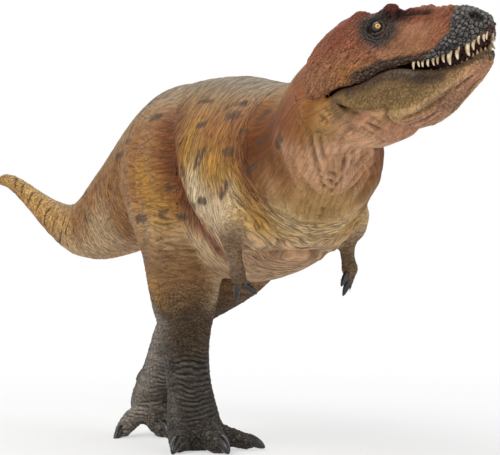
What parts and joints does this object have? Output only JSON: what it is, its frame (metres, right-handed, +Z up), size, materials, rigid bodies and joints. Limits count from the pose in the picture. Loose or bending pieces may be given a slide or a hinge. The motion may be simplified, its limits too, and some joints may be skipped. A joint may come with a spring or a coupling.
{
  "type": "toy dinosaur figure",
  "caption": "Walking two-legged predatory dinosaur toy figure in painted vinyl, with a long tail, small clawed arms and a lower jaw that swings open on a pin.",
  "frame": {"origin": "middle of the figure's box on the floor plane, at the soles", "axes": "+X along the trunk towards the head, +Y to the animal's left, +Z up"},
  "size_m": [0.3368, 0.0578, 0.1238],
  "materials": {
    "torso_paint": "satin painted vinyl, ochre",
    "neck_paint": "satin painted vinyl, red-brown",
    "skull_paint": "satin painted vinyl, red-brown with a dark snout",
    "lower_jaw_paint": "satin painted vinyl, olive",
    "upper_teeth_paint": "glossy ivory",
    "lower_teeth_paint": "glossy ivory",
    "tongue_paint": "glossy pink-red",
    "jaw_pin_paint": "plain steel",
    "left_eye_paint": "glossy amber",
    "right_eye_paint": "glossy amber",
    "tail_root_paint": "satin painted vinyl, ochre",
    "tail_tip_paint": "satin painted vinyl, ochre with brown bands",
    "right_leg_paint": "satin painted vinyl, ochre to dark grey",
    "left_leg_paint": "satin painted vinyl, ochre to dark grey",
    "right_arm_paint": "satin painted vinyl, grey-brown",
    "left_arm_paint": "satin painted vinyl, grey-brown"
  },
  "bodies": {
    "figure": {"torso": "torso_paint", "neck": "neck_paint", "skull": "skull_paint", "upper_teeth": "upper_teeth_paint", "jaw_pin": "jaw_pin_paint", "left_eye": "left_eye_paint", "right_eye": "right_eye_paint", "tail_root": "tail_root_paint", "tail_tip": "tail_tip_paint", "right_leg": "right_leg_paint", "left_leg": "left_leg_paint", "right_arm": "right_arm_paint", "left_arm": "left_arm_paint"},
    "jaw": {"lower_jaw": "lower_jaw_paint", "lower_teeth": "lower_teeth_paint", "tongue": "tongue_paint"}
  },
  "joints": [
    {"name": "jaw_swing", "type": "hinge", "parent": "figure", "child": "jaw", "pos_m": [0.13548, 0.00156, 0.09952], "axis": [-0.4698, 0.8761, -0.1088], "range_deg": [0, 25]}
  ]
}
